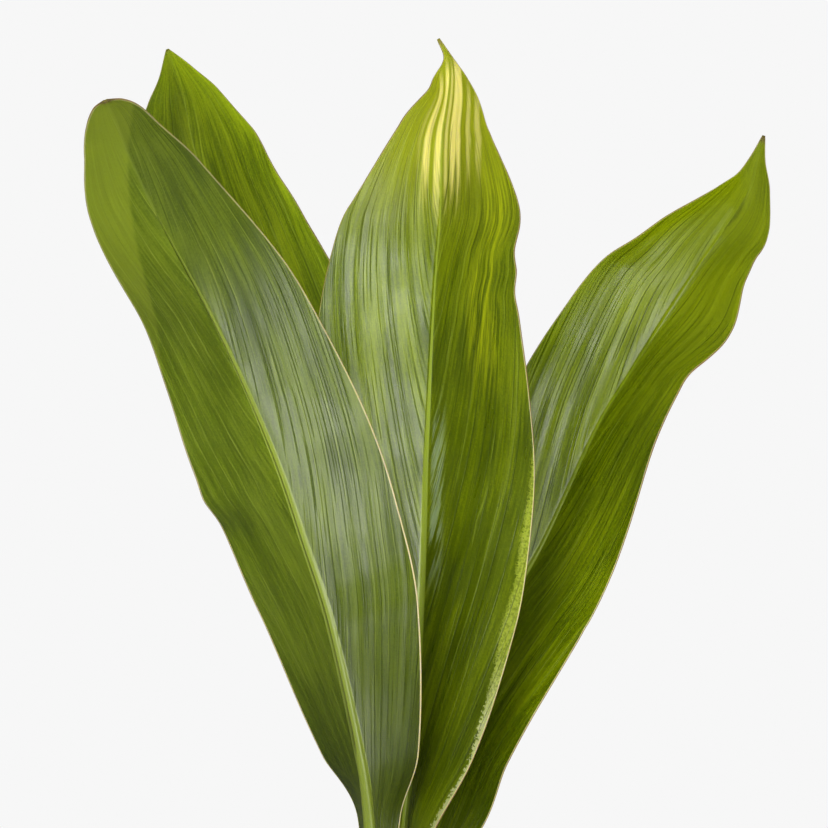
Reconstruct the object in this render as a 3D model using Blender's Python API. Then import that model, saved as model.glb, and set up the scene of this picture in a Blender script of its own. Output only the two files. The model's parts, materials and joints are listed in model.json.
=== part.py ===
# Potted cordyline: four broad leaves on a short cane, in soil, in a plain clay pot.
# Lengths are in millimetres until a mesh is made, which is in metres. +Z is up, and the origin
# is the centre of the pot's base. The plant is looked at from -Y, with +X to the right.

import math
from collections import namedtuple

import bmesh
import bpy
from mathutils import Vector

MM = 0.001  # metres in a millimetre
GAP = 0.3  # clearance between pieces that touch

# Pot: a plain clay pot with a rim band and drain holes round a solid centre
POT_HEIGHT = 150
POT_RIM_RADIUS = 81
POT_RIM_BAND = 28  # height of the band
POT_RIM_STEP = 5  # how far the band stands out from the body
POT_FOOT_RADIUS = 57
POT_WALL = 6
POT_FLOOR = 9
POT_LIP = 2  # radius of the lip's rounding
POT_SIDES = 36
DRAIN_COUNT = 3
DRAIN_RADIUS = 4.5
DRAIN_CIRCLE = 30

# Soil
SOIL_EDGE_HEIGHT = 133  # where the soil meets the wall
SOIL_DOME = 4  # how much higher it is at the cane
SOIL_BUMP = 1.3
SOIL_RINGS = (65, 55, 44, 33, 22, 14)  # radii of the rings of its top

# Stem: a cane that leans a little on its way up, with ring scars and a pointed growing tip
STEM_FOOT = 70  # how deep it stands in the soil
STEM_SIDES = 12
STEM_CROWN = Vector((-6, 2, 0))  # how far the crown is off the pot's axis
STEM_LEAN_TOP = 205  # straight up from this height
STEM_TIP = 300
STEM_RADII = (
    (70, 8.5),
    (136, 8.5),
    (205, 8),
    (221, 7.4),
    (237, 6.8),
    (259, 6.2),
    (269, 5.4),
    (279, 3.6),
    (291, 1.9),
)
SCAR_FIRST = 146
SCAR_LAST = 200
SCAR_PITCH = 6
SCAR_RISE = 0.7
SCAR_BELOW = 0.9  # a scar's lip starts this far under its crest
SCAR_ABOVE = 1.1

# Leaves
LEAF_ROWS = 36  # stations along a leaf's mesh
ROW_CROWDING = 0.4  # how much closer the rows lie at the stalk and at the tip
LEAF_PLEATS = 8  # columns on each side of the midrib
BLADE_THICKNESS = 0.9
MARGIN_THICKNESS = 0.7
STALK_THICKNESS = 2.6
STALK_EDGE = 0.9
RIDGE_HEIGHT = 2.2  # the midrib below the blade, at the blade's foot
RIDGE_HALF_WIDTH = 2.6
RIDGE_HALF_WIDTH_TIP = 0.8
PLEAT_DEPTH = 0.35
SEAT_WRAP = 62  # degrees of the cane that each half of a stalk's foot clasps
SEAT_HEIGHT = 11
SEAT_LIFT = 0.6  # how far the foot's top stands off the cane
LEAF_TIP = 0.8  # least half width of a blade

# The stalk between its foot and the blade: how far along, half width, rise and bend
NECK = ((0.3, 7, 18, 46), (0.62, 11, 38, 22))

# A station is a place on the midrib with the blade's section there: its half width, how steeply
# the left and right halves rise from the midrib towards the upper face, how much a half bends
# further on its way to the margin, and the compass direction that the upper face looks in.
Station = namedtuple("Station", "x y z half left right bend facing")

# A ruffle is a wave of one margin (-1 left, 1 right) at a height, with its length, how much
# narrower the blade is there, and how far the margin is lifted.
Ruffle = namedtuple("Ruffle", "side height span narrower lift")

# Leaves, with the compass direction and height where each clasps the cane, and the rows of the
# blade as x, y, z, half width, left rise and right rise, from the stalk to the tip
LEAF_FRONT_LEFT = {
    "clasp": 240,
    "height": 204,
    "facing": 90,
    "bend": -8,
    "rows": (
        (-18, -22, 332, 23, 50, 80),
        (-22, -29, 365, 32, 22, 57),
        (-38, -46, 440, 47, 12, 47),
        (-51, -60, 482, 52, 18, 47),
        (-63, -74, 519, 53, 22, 41),
        (-79, -91, 559, 51, 25, 46),
        (-96, -108, 596, 47.5, 27, 50),
        (-122, -133, 646.5, 34.7, 33, 33),
        (-132.5, -150, 671, 21.8, 27, 27),
        (-136, -161, 682, 15.2, 23, 23),
        (-138.5, -173, 689, 8.3, 18, 18),
        (-139.5, -183, 692, 0.8, 20, 20),
    ),
    "ruffles": (Ruffle(1, 484, 8, -0.5, 3), Ruffle(1, 503, 9, -2.5, -2)),
}
LEAF_BACK_LEFT = {
    "clasp": 132,
    "height": 236,
    "facing": 270,
    "bend": -8,
    "rows": (
        (-8, 41, 325, 14, 50, 50),
        (-11, 53, 361, 24, 40, 42),
        (-23, 75, 440, 41, 28, 35),
        (-45, 95, 525, 51, 26, 35),
        (-60, 106, 569, 52, 26, 35),
        (-79, 117, 611, 51, 27, 40),
        (-98, 128, 650, 47, 28, 42),
        (-116, 139, 687, 40, 32, 33),
        (-124, 150, 719, 24, 36, 37),
        (-129, 155, 736, 12, 40, 36),
        (-135, 159, 752, 0.8, 20, 20),
    ),
    "ruffles": (Ruffle(1, 640, 12, -1.5, -3), Ruffle(-1, 600, 14, 2, 3)),
}
LEAF_CENTRE = {
    "clasp": 62,
    "height": 259,
    "facing": 270,
    "bend": -12,
    "rows": (
        (0, 8, 329, 25, 55, 60),
        (4, 10, 371, 40, 36, 41),
        (8, 13, 437, 54.5, 24, 29),
        (10, 16, 479, 60, 20, 29),
        (11, 19, 512, 62.5, 17, 31),
        (13, 23, 552, 63, 15, 41),
        (15, 28, 594, 61, 15, 50),
        (17, 32, 626, 57, 20, 52),
        (19, 36, 651, 50.5, 25, 42),
        (20, 42, 693, 31, 49, 44),
        (23, 46, 714, 18.5, 63, 38),
        (24, 48, 726, 9.5, 47, 40),
        (23, 49, 736, 2.6, 40, 40),
        (18, 50, 746, 0.8, 20, 20),
    ),
    "ruffles": (Ruffle(1, 616, 6, -1.5, 1), Ruffle(1, 604, 7, 1, -1.5)),
}
LEAF_RIGHT = {
    "clasp": 15,
    "height": 220,
    "facing": 270,
    "bend": -12,
    "rows": (
        (15, 26, 327, 28, 34, 38),
        (26, 33, 369, 38, 33, 47),
        (57, 43, 446, 49, 25, 41),
        (74, 47, 477, 50, 24, 46),
        (104, 57, 539, 51, 20, 62),
        (122, 62, 568, 50.5, 17, 66),
        (144, 68, 603, 47, 22, 53),
        (160, 73, 627, 38, 38, 57),
        (180, 79, 655, 22, 44, 31),
        (188, 81, 669, 12, 30, 30),
        (192, 83, 683, 5, 30, 30),
        (196, 85, 697, 0.8, 20, 20),
    ),
    "ruffles": (
        Ruffle(-1, 615, 9, 2.5, 3),
        Ruffle(1, 574, 8, 2.5, 2),
        Ruffle(1, 596, 8, -1, -2),
        Ruffle(1, 638, 7, 2.5, 2),
    ),
}


def clear_scene():
    for thing in list(bpy.data.objects):
        bpy.data.objects.remove(thing, do_unlink=True)


def make_material(name, colour, roughness, metallic=0.0):
    material = bpy.data.materials.new(name)
    material.use_nodes = True
    shader = material.node_tree.nodes["Principled BSDF"]
    shader.inputs["Base Color"].default_value = (*colour, 1.0)
    shader.inputs["Roughness"].default_value = roughness
    shader.inputs["Metallic"].default_value = metallic
    material.diffuse_color = (*colour, 1.0)
    return material


def make_object(name, mesh, material):
    thing = bpy.data.objects.new(name, mesh)
    thing.data.materials.append(material)
    bpy.context.scene.collection.objects.link(thing)
    return thing


def lerp(a, b, t):
    return a + (b - a) * t


def smoothstep(t):
    t = min(max(t, 0.0), 1.0)
    return t * t * (3 - 2 * t)


# Round bodies: rings of points joined one after another, each end closed at a single point


def solid_of_rings(name, rings, material):
    work = bmesh.new()
    made = []
    for ring in rings:
        made.append([work.verts.new(point * MM) for point in ring])
    for below, above in zip(made, made[1:]):
        sides = max(len(below), len(above))
        for k in range(sides):
            corners = [
                below[k % len(below)],
                below[(k + 1) % len(below)],
                above[(k + 1) % len(above)],
                above[k % len(above)],
            ]
            work.faces.new(list(dict.fromkeys(corners)))
    bmesh.ops.triangulate(work, faces=work.faces[:])
    bmesh.ops.recalc_face_normals(work, faces=work.faces[:])
    mesh = bpy.data.meshes.new(name)
    work.to_mesh(mesh)
    work.free()
    thing = make_object(name, mesh, material)
    mesh.shade_smooth()
    mesh.set_sharp_from_angle(angle=math.radians(40))
    return thing


def ring_at(centre, radius, height, sides):
    if radius == 0:
        return [Vector((centre.x, centre.y, height))]
    ring = []
    for k in range(sides):
        turn = 2 * math.pi * k / sides
        ring.append(Vector((centre.x + radius * math.cos(turn), centre.y + radius * math.sin(turn), height)))
    return ring


def arc(centre_radius, centre_height, radius, start, end, steps=3):
    points = []
    for k in range(steps + 1):
        angle = math.radians(lerp(start, end, k / steps))
        points.append((centre_radius + radius * math.cos(angle), centre_height + radius * math.sin(angle)))
    return points


# Pot


def inner_radius(height):
    """Radius of the pot's inner wall, a straight taper from floor to lip."""
    foot = POT_FOOT_RADIUS - POT_WALL
    top = POT_RIM_RADIUS - POT_WALL
    return lerp(foot, top, (height - POT_FLOOR) / (POT_HEIGHT - POT_FLOOR))


def build_pot(material):
    band_foot = POT_HEIGHT - POT_RIM_BAND
    body_top = POT_RIM_RADIUS - POT_RIM_STEP
    lip_height = POT_HEIGHT - POT_LIP
    profile = [(0, 0), (POT_FOOT_RADIUS - 1.5, 0), (POT_FOOT_RADIUS, 1.5), (body_top, band_foot - 1)]
    profile += [(POT_RIM_RADIUS - 1.5, band_foot), (POT_RIM_RADIUS, band_foot + 1.5)]
    profile += arc(POT_RIM_RADIUS - POT_LIP, lip_height, POT_LIP, 0, 90)
    profile += arc(POT_RIM_RADIUS - POT_WALL + POT_LIP, lip_height, POT_LIP, 90, 180)
    profile += [(inner_radius(SOIL_EDGE_HEIGHT), SOIL_EDGE_HEIGHT)]
    profile += [(inner_radius(POT_FLOOR), POT_FLOOR), (0, POT_FLOOR)]
    axis = Vector((0, 0, 0))
    rings = [ring_at(axis, radius, height, POT_SIDES) for radius, height in profile]
    pot = solid_of_rings("pot", rings, material)
    cut_drains(pot)
    return pot


def cut_drains(pot):
    work = bmesh.new()
    for k in range(DRAIN_COUNT):
        turn = 2 * math.pi * (k + 0.25) / DRAIN_COUNT
        made = bmesh.ops.create_cone(
            work,
            cap_ends=True,
            segments=16,
            radius1=DRAIN_RADIUS * MM,
            radius2=DRAIN_RADIUS * MM,
            depth=3 * POT_FLOOR * MM,
        )
        place = Vector((DRAIN_CIRCLE * math.cos(turn), DRAIN_CIRCLE * math.sin(turn), POT_FLOOR / 2)) * MM
        bmesh.ops.translate(work, verts=made["verts"], vec=place)
    mesh = bpy.data.meshes.new("drain_cutter")
    work.to_mesh(mesh)
    work.free()
    cutter = bpy.data.objects.new("drain_cutter", mesh)
    bpy.context.scene.collection.objects.link(cutter)
    cutter.hide_render = True
    cutter.display_type = "WIRE"
    cut = pot.modifiers.new("drains", "BOOLEAN")
    cut.operation = "DIFFERENCE"
    cut.solver = "EXACT"
    cut.object = cutter


# Soil


def soil_height(x, y):
    """Height of the soil's top: a low dome round the cane, with soft bumps."""
    distance = math.hypot(x, y)
    dome = SOIL_DOME * smoothstep(1 - distance / inner_radius(SOIL_EDGE_HEIGHT))
    bumps = math.sin(x / 9.0 + 1.3) * math.cos(y / 11.0) + 0.6 * math.sin((x + y) / 6.5 + 0.4)
    return SOIL_EDGE_HEIGHT + dome + SOIL_BUMP * bumps


def build_soil(material):
    axis = Vector((0, 0, 0))
    hole = stem_radius(STEM_FOOT) + GAP
    rings = [ring_at(axis, 0, POT_FLOOR + GAP, POT_SIDES)]
    for height in (POT_FLOOR + GAP, SOIL_EDGE_HEIGHT - 4):
        rings.append(ring_at(axis, inner_radius(height) - GAP, height, POT_SIDES))
    edge = inner_radius(SOIL_EDGE_HEIGHT - 4) - GAP - 0.5
    for radius in (edge,) + SOIL_RINGS + (hole,):
        ring = ring_at(axis, radius, 0, POT_SIDES)
        for point in ring:
            point.z = soil_height(point.x, point.y)
        rings.append(ring)
    rings.append(ring_at(axis, hole, STEM_FOOT - GAP, POT_SIDES))
    rings.append(ring_at(axis, 0, STEM_FOOT - GAP, POT_SIDES))
    return solid_of_rings("soil", rings, material)


# Stem


def stem_radius(height):
    for (low, wide), (high, narrow) in zip(STEM_RADII, STEM_RADII[1:]):
        if height <= high:
            return lerp(wide, narrow, (height - low) / (high - low))
    return STEM_RADII[-1][1]


def stem_centre(height):
    lean = (height - SOIL_EDGE_HEIGHT - SOIL_DOME) / (STEM_LEAN_TOP - SOIL_EDGE_HEIGHT - SOIL_DOME)
    return STEM_CROWN * smoothstep(lean)


def build_stem(material):
    heights = [(height, 0) for height, _ in STEM_RADII]
    for scar in range(SCAR_FIRST, SCAR_LAST + 1, SCAR_PITCH):
        heights += [(scar - SCAR_BELOW, 0), (scar, SCAR_RISE), (scar + SCAR_ABOVE, 0)]
    rings = [ring_at(stem_centre(STEM_FOOT), 0, STEM_FOOT, STEM_SIDES)]
    for height, rise in sorted(heights):
        rings.append(ring_at(stem_centre(height), stem_radius(height) + rise, height, STEM_SIDES))
    rings.append(ring_at(stem_centre(STEM_TIP), 0, STEM_TIP, STEM_SIDES))
    return solid_of_rings("stem", rings, material)


# Leaves


def stalk_stations(leaf):
    """The stalk below the blade: a seat that clasps the cane, and a channelled neck."""
    clasp = math.radians(leaf["clasp"])
    outward = Vector((math.cos(clasp), math.sin(clasp), 0))
    facing = leaf["clasp"] + 180
    if facing - leaf["facing"] > 180:
        facing -= 360
    blade = Station(*leaf["rows"][0], leaf["bend"], leaf["facing"])
    height = leaf["height"]
    stations = []
    for rise, away in ((0, 0), (SEAT_HEIGHT, SEAT_LIFT)):
        reach = stem_radius(height) + GAP + away
        place = stem_centre(height) + outward * reach
        half = reach * math.radians(SEAT_WRAP)
        stations.append(Station(place.x, place.y, height + rise, half, 0, 0, SEAT_WRAP, facing))
    seat = stations[-1]
    for share, half, rise, bend in NECK:
        stations.append(
            Station(
                lerp(seat.x, blade.x, share),
                lerp(seat.y, blade.y, share),
                lerp(seat.z, blade.z, share),
                half,
                rise,
                rise,
                bend,
                lerp(facing, leaf["facing"], share),
            )
        )
    return stations


def leaf_stations(leaf):
    blade = [Station(*row, leaf["bend"], leaf["facing"]) for row in leaf["rows"]]
    return stalk_stations(leaf) + blade


def distances(stations):
    """How far along the midrib each station is."""
    along = [0.0]
    for a, b in zip(stations, stations[1:]):
        along.append(along[-1] + math.dist(a[:3], b[:3]))
    return along


def station_at(stations, along, distance):
    """A smooth curve through the stations, read at a distance along the midrib."""
    last = len(stations) - 2
    k = min(sum(1 for mark in along[1:-1] if mark <= distance), last)
    span = along[k + 1] - along[k]
    t = (distance - along[k]) / span
    values = []
    for field in range(len(Station._fields)):
        slopes = []
        for m in (k, k + 1):
            a = max(m - 1, 0)
            b = min(m + 1, last + 1)
            slopes.append((stations[b][field] - stations[a][field]) / (along[b] - along[a]) * span)
        start, end = stations[k][field], stations[k + 1][field]
        values.append(
            start * (2 * t**3 - 3 * t**2 + 1)
            + slopes[0] * (t**3 - 2 * t**2 + t)
            + end * (3 * t**2 - 2 * t**3)
            + slopes[1] * (t**3 - t**2)
        )
    return Station(*values)


def section_frame(here, ahead):
    """The midrib's direction, the way to the leaf's right, and the way its upper face looks."""
    along = (Vector(ahead[:3]) - Vector(here[:3])).normalized()
    facing = math.radians(here.facing)
    look = Vector((math.cos(facing), math.sin(facing), 0))
    right = along.cross(look).normalized()
    up = right.cross(along)
    return right, up


def half_section(distance, half, rise, bend):
    """Where a half blade has got to, across and up, at a distance from the midrib."""
    start = math.radians(rise)
    turn = math.radians(bend) * distance / half
    if abs(turn) < 1e-4:
        return distance * math.cos(start), distance * math.sin(start)
    radius = distance / turn
    across = radius * (math.sin(start + turn) - math.sin(start))
    up = radius * (math.cos(start) - math.cos(start + turn))
    return across, up


def ruffled(leaf, height, side):
    """How much narrower and higher one margin is at a height."""
    narrower = 0.0
    lift = 0.0
    for ruffle in leaf["ruffles"]:
        if ruffle.side == side:
            weight = math.exp(-(((height - ruffle.height) / ruffle.span) ** 2))
            narrower += ruffle.narrower * weight
            lift += ruffle.lift * weight
    return narrower, lift


def column_places(half, ridge):
    """Distances from the midrib of a section's columns: the ridge's foot, then even pleats."""
    ridge = min(ridge, half / LEAF_PLEATS)
    places = []
    for k in range(LEAF_PLEATS):
        places.append(lerp(ridge, half, k / (LEAF_PLEATS - 1)))
    return places


def leaf_sections(leaf):
    """Rows of points of the upper face, with how far along the blade each row is."""
    stations = leaf_stations(leaf)
    along = distances(stations)
    length = along[-1]
    blade_start = along[len(stations) - len(leaf["rows"])] / length
    rows = []
    for k in range(LEAF_ROWS):
        even = k / (LEAF_ROWS - 1)
        share = even - ROW_CROWDING * math.sin(2 * math.pi * even) / (2 * math.pi)
        here = station_at(stations, along, share * length)
        step = 0.5 if k < LEAF_ROWS - 1 else -0.5
        ahead = station_at(stations, along, share * length + step)
        if step > 0:
            right, up = section_frame(here, ahead)
        else:
            right, up = section_frame(ahead._replace(facing=here.facing), here)
        centre = Vector(here[:3])
        ridge = lerp(RIDGE_HALF_WIDTH, RIDGE_HALF_WIDTH_TIP, share)
        points = [centre]
        for side in (-1, 1):
            narrower, lift = ruffled(leaf, here.z, side)
            half = max(here.half - narrower, LEAF_TIP)
            rise = here.left if side < 0 else here.right
            for distance in column_places(half, ridge):
                across, height = half_section(distance, half, rise, here.bend)
                height += lift * (distance / half) ** 2
                point = centre + right * across * side + up * height
                points = [point] + points if side < 0 else points + [point]
        rows.append(((share - blade_start) / (1 - blade_start), points))
    return rows


def face_normals(rows):
    """The upper face's outward direction at each point."""
    grid = [points for _, points in rows]
    normals = []
    for i, points in enumerate(grid):
        before, after = grid[max(i - 1, 0)], grid[min(i + 1, len(grid) - 1)]
        line = []
        for j in range(len(points)):
            across = points[min(j + 1, len(points) - 1)] - points[max(j - 1, 0)]
            forward = after[j] - before[j]
            line.append(across.cross(forward).normalized())
        normals.append(line)
    return normals


def thickness_at(blade, column):
    """Thickness under a column: a stout stalk that thins to the blade, with the midrib's ridge."""
    outward = abs(column - LEAF_PLEATS) / LEAF_PLEATS
    stalk = 1 - smoothstep((blade + 0.3) / 0.35)
    sheet = lerp(BLADE_THICKNESS, MARGIN_THICKNESS, outward**2)
    body = lerp(STALK_THICKNESS, STALK_EDGE, outward**1.5)
    ridge = RIDGE_HEIGHT * (1 - max(blade, 0)) ** 0.8 if column == LEAF_PLEATS else 0
    return max(lerp(sheet + ridge, body, stalk), MARGIN_THICKNESS)


def pleat_at(blade, column):
    """The blade's pleats: every other column stands up or down, fading at stalk, midrib and margin."""
    outward = abs(column - LEAF_PLEATS)
    if outward in (0, 1, LEAF_PLEATS) or blade < 0:
        return 0.0
    fade = smoothstep(blade / 0.15) * smoothstep((1 - blade) / 0.25)
    return PLEAT_DEPTH * fade * (1 if outward % 2 else -1)


def build_leaf(name, leaf, material):
    rows = leaf_sections(leaf)
    normals = face_normals(rows)
    work = bmesh.new()
    upper = []
    lower = []
    for (blade, points), line in zip(rows, normals):
        top = []
        under = []
        for column, (point, normal) in enumerate(zip(points, line)):
            place = point + normal * pleat_at(blade, column)
            top.append(work.verts.new(place * MM))
            under.append(work.verts.new((place - normal * thickness_at(blade, column)) * MM))
        upper.append(top)
        lower.append(under)
    for i in range(len(rows) - 1):
        for j in range(2 * LEAF_PLEATS):
            for a, b, c in (((i, j), (i, j + 1), (i + 1, j + 1)), ((i, j), (i + 1, j + 1), (i + 1, j))):
                work.faces.new([upper[m][n] for m, n in (a, b, c)])
                work.faces.new([lower[m][n] for m, n in (c, b, a)])
    rim = [(i, 0) for i in range(len(rows))]
    rim += [(len(rows) - 1, j) for j in range(1, 2 * LEAF_PLEATS + 1)]
    rim += [(i, 2 * LEAF_PLEATS) for i in range(len(rows) - 2, -1, -1)]
    rim += [(0, j) for j in range(2 * LEAF_PLEATS - 1, 0, -1)]
    for (i, j), (m, n) in zip(rim, rim[1:] + rim[:1]):
        work.faces.new([upper[i][j], upper[m][n], lower[m][n]])
        work.faces.new([upper[i][j], lower[m][n], lower[i][j]])
    bmesh.ops.recalc_face_normals(work, faces=work.faces[:])
    mesh = bpy.data.meshes.new(name)
    work.to_mesh(mesh)
    work.free()
    thing = make_object(name, mesh, material)
    mesh.shade_smooth()
    mesh.set_sharp_from_angle(angle=math.radians(50))
    return thing


def main():
    clear_scene()
    clay = make_material("clay", (0.46, 0.17, 0.08), 0.85)
    potting_mix = make_material("potting_mix", (0.035, 0.022, 0.014), 0.95)
    bark = make_material("bark", (0.20, 0.16, 0.09), 0.8)
    leaf_upper = make_material("leaf_upper", (0.10, 0.18, 0.01), 0.38)
    leaf_under = make_material("leaf_under", (0.14, 0.18, 0.03), 0.45)
    build_pot(clay)
    build_soil(potting_mix)
    build_stem(bark)
    build_leaf("leaf_front_left", LEAF_FRONT_LEFT, leaf_under)
    build_leaf("leaf_back_left", LEAF_BACK_LEFT, leaf_upper)
    build_leaf("leaf_centre", LEAF_CENTRE, leaf_upper)
    build_leaf("leaf_right", LEAF_RIGHT, leaf_upper)


main()
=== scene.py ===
# Potted cordyline: the looks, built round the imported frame. The plant is seen from -Y.
import functools
import json
import math

import bmesh
import bpy
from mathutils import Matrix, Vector, noise

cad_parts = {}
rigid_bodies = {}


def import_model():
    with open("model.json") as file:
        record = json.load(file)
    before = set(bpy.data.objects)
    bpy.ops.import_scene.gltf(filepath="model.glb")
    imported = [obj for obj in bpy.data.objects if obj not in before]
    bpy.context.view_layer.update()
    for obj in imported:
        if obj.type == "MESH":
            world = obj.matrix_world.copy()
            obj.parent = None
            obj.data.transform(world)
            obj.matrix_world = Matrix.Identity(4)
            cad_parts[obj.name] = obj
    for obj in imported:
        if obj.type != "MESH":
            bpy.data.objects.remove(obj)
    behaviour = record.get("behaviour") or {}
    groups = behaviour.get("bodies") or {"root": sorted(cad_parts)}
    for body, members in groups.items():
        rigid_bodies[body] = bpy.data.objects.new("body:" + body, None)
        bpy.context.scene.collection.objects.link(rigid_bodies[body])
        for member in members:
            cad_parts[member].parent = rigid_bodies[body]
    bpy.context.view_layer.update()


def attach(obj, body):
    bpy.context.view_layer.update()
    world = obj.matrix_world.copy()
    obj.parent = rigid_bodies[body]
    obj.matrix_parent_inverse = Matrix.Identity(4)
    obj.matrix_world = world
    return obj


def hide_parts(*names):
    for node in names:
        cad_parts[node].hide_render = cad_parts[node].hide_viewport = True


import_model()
mm = 0.001

# Settings that many nodes share
times = {"operation": "MULTIPLY"}
timesPlus = {"operation": "MULTIPLY_ADD"}
plus = {"operation": "ADD"}
minus = {"operation": "SUBTRACT"}
larger = {"operation": "MAXIMUM"}
unsigned = {"operation": "ABSOLUTE"}
smoothStep = {"interpolation_type": "SMOOTHSTEP"}
inColour = {"data_type": "RGBA"}
darkening = {"data_type": "RGBA", "blend_type": "MULTIPLY"}

# Tools shared by every piece


def linearColour(hexText):
    channels = [int(hexText[k:k + 2], 16) / 255 for k in (0, 2, 4)]
    return tuple(c / 12.92 if c <= 0.04045 else ((c + 0.055) / 1.055) ** 2.4 for c in channels) + (1.0,)


def addNode(tree, kind, settings, feeds):
    # feeds, by socket or in the sockets' order: a value, a hex colour, a socket, or a node whose
    # result is meant
    shading = not kind.startswith(("Geometry", "Function", "NodeGroup"))
    node = tree.nodes.new("ShaderNode" + kind if shading else kind)
    for name, value in settings.items():
        setattr(node, name, value)
    for key, source in feeds.items() if isinstance(feeds, dict) else enumerate(feeds):
        socket = node.inputs[key]
        if isinstance(source, bpy.types.Node):
            source = source.outputs[2 if source.bl_idname == "ShaderNodeMix" else 0]
        if isinstance(source, bpy.types.NodeSocket):
            tree.links.new(source, socket)
        elif socket.type == "RGBA":
            socket.default_value = linearColour(source)
        else:
            socket.default_value = source
    return node


def faded(add, share, *steps):
    # multiplies a share by other shares, or by soft steps: a source, where its step starts and
    # ends, and the values before and after it
    for step in steps:
        if isinstance(step, tuple):
            step = add("MapRange", smoothStep, step)
        share = add("Math", times, [share, step])
    return share


def newMaterial(name):
    material = bpy.data.materials.new(name)
    material.use_nodes = True
    material.node_tree.nodes.clear()
    add = functools.partial(addNode, material.node_tree)
    return material, add, add("TexCoord", {}, {}).outputs["Object"]


def coated(material, add, relief, strength, depthMm, feeds):
    # the surface of a material, with its finest relief as bump
    bump = add("Bump", {}, {"Height": relief, "Strength": strength, "Distance": depthMm * mm})
    add("OutputMaterial", {}, {"Surface": add("BsdfPrincipled", {}, feeds | {"Normal": bump})})
    return material


def mix(a, b, t):
    return a + (b - a) * t


def smooth(t):
    t = min(max(t, 0.0), 1.0)
    return t * t * (3 - 2 * t)


def newPiece(name, mesh, material=None):
    piece = bpy.data.objects.new(name, mesh)
    bpy.context.scene.collection.objects.link(piece)
    if material is not None:
        mesh.materials.clear()
        mesh.materials.append(material)
    return piece


def settle(piece):
    # what the modifiers make of a piece becomes its own plain mesh
    bpy.context.view_layer.update()
    depsgraph = bpy.context.evaluated_depsgraph_get()
    made = bpy.data.meshes.new_from_object(piece.evaluated_get(depsgraph), depsgraph=depsgraph)
    name = piece.name
    bpy.data.batch_remove([piece, piece.data])
    made.name = name
    return newPiece(name, made)


def newGeometryTree(name, inputs):
    kinds = {float: "NodeSocketFloat", int: "NodeSocketInt", type(None): "NodeSocketMaterial"}
    tree = bpy.data.node_groups.new(name, "GeometryNodeTree")
    tree.interface.new_socket("Geometry", in_out="INPUT", socket_type="NodeSocketGeometry")
    for label, value in inputs.items():
        socket = tree.interface.new_socket(label, in_out="INPUT", socket_type=kinds[type(value)])
        if value is not None:
            socket.default_value = value
    tree.interface.new_socket("Geometry", in_out="OUTPUT", socket_type="NodeSocketGeometry")
    add = functools.partial(addNode, tree)
    return tree, add, add("NodeGroupInput", {}, {}).outputs


def pushOut(add, shape, height):
    # moves each point along its normal
    normal = add("GeometryNodeInputNormal", {}, {})
    offset = add("VectorMath", {"operation": "SCALE"}, {0: normal, "Scale": height})
    return add("GeometryNodeSetPosition", {}, {"Geometry": shape, "Offset": offset})


def closeTree(add, shape, finish):
    real = add("GeometryNodeRealizeInstances", {}, {"Geometry": shape})
    coat = add("GeometryNodeSetMaterial", {}, {"Geometry": real, "Material": finish})
    add("NodeGroupOutput", {}, {"Geometry": coat})


def useTree(piece, tree, values):
    modifier = piece.modifiers.new(tree.name, "NODES")
    modifier.node_group = tree
    for item in tree.interface.items_tree:
        if item.item_type == "SOCKET" and item.in_out == "INPUT" and item.name in values:
            modifier[item.identifier] = values[item.name]


def place(piece, nodes):
    if nodes:
        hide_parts(*nodes)
    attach(piece, "root")


# Leaf form. A station is a place on the midrib: x, y, z, half width, left rise, right rise, bend of
# a half towards its margin, and the direction that the upper face looks in (mm and degrees)
leafForm = {
    "rows": 250,
    "halfColumns": 44,
    "crowding": 0.4,  # rows lie closer at the stalk and the tip, and columns at midrib and margin
    "step": 0.5,  # mm ahead, for the midrib's direction
    "bladeThick": 0.9,
    "marginThick": 0.7,
    "stalkThick": 2.6,
    "stalkEdge": 0.9,
    "stalkFrom": -0.3,  # the stalk's section turns into the blade's from here
    "stalkSpan": 0.35,  # over this share of the blade's length
    "ribHigh": 2.2,
    "ribHalf": 3.3,
    "ribTaper": 0.85,  # how much narrower the ridge is at the tip
    "footThin": 0.35,  # the clasping foot thins to this share of its thickness
    "footSpan": 0.06,
    "seatWrap": 62,
    "seatHigh": 11,
    "seatLift": 0.6,
    "gap": 0.3,
    "neck": ((0.3, 7, 18, 46), (0.62, 11, 38, 22)),
    "tipHalf": 0.8,
    "creaseMost": 0.4,  # of the half width
    "hem": 4.0,  # how much the clasping foot is cut back at its two edges
    "hemLong": 14.0,
    "veinFan": 0.7,  # how far along the blade a vein runs before it meets the margin
    "veinBend": 1.2,  # above 1 the veins leave the midrib fast and then turn along the margin
}

caneForm = {
    "foot": 70,
    "radii": (
        (70, 8.5), (136, 8.5), (205, 8), (221, 7.4), (237, 6.8), (259, 6.2), (269, 5.4), (279, 3.6),
        (291, 1.9), (300, 0.25),
    ),
    "crown": Vector((-6, 2, 0)),
    "leanFrom": 137,
    "leanTo": 205,
    "leanStep": 7,
    "scarPitch": 6,
    "scarHigh": 0.6,
    "scarFrom": 140,
    "scarTo": 204,
    "sides": 56,
}


def caneRadius(height):
    for (low, wide), (high, narrow) in zip(caneForm["radii"], caneForm["radii"][1:]):
        if height <= high:
            return mix(wide, narrow, (height - low) / (high - low))
    return caneForm["radii"][-1][1]


def caneCentre(height):
    lean = (height - caneForm["leanFrom"]) / (caneForm["leanTo"] - caneForm["leanFrom"])
    return caneForm["crown"] * smooth(lean)


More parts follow.
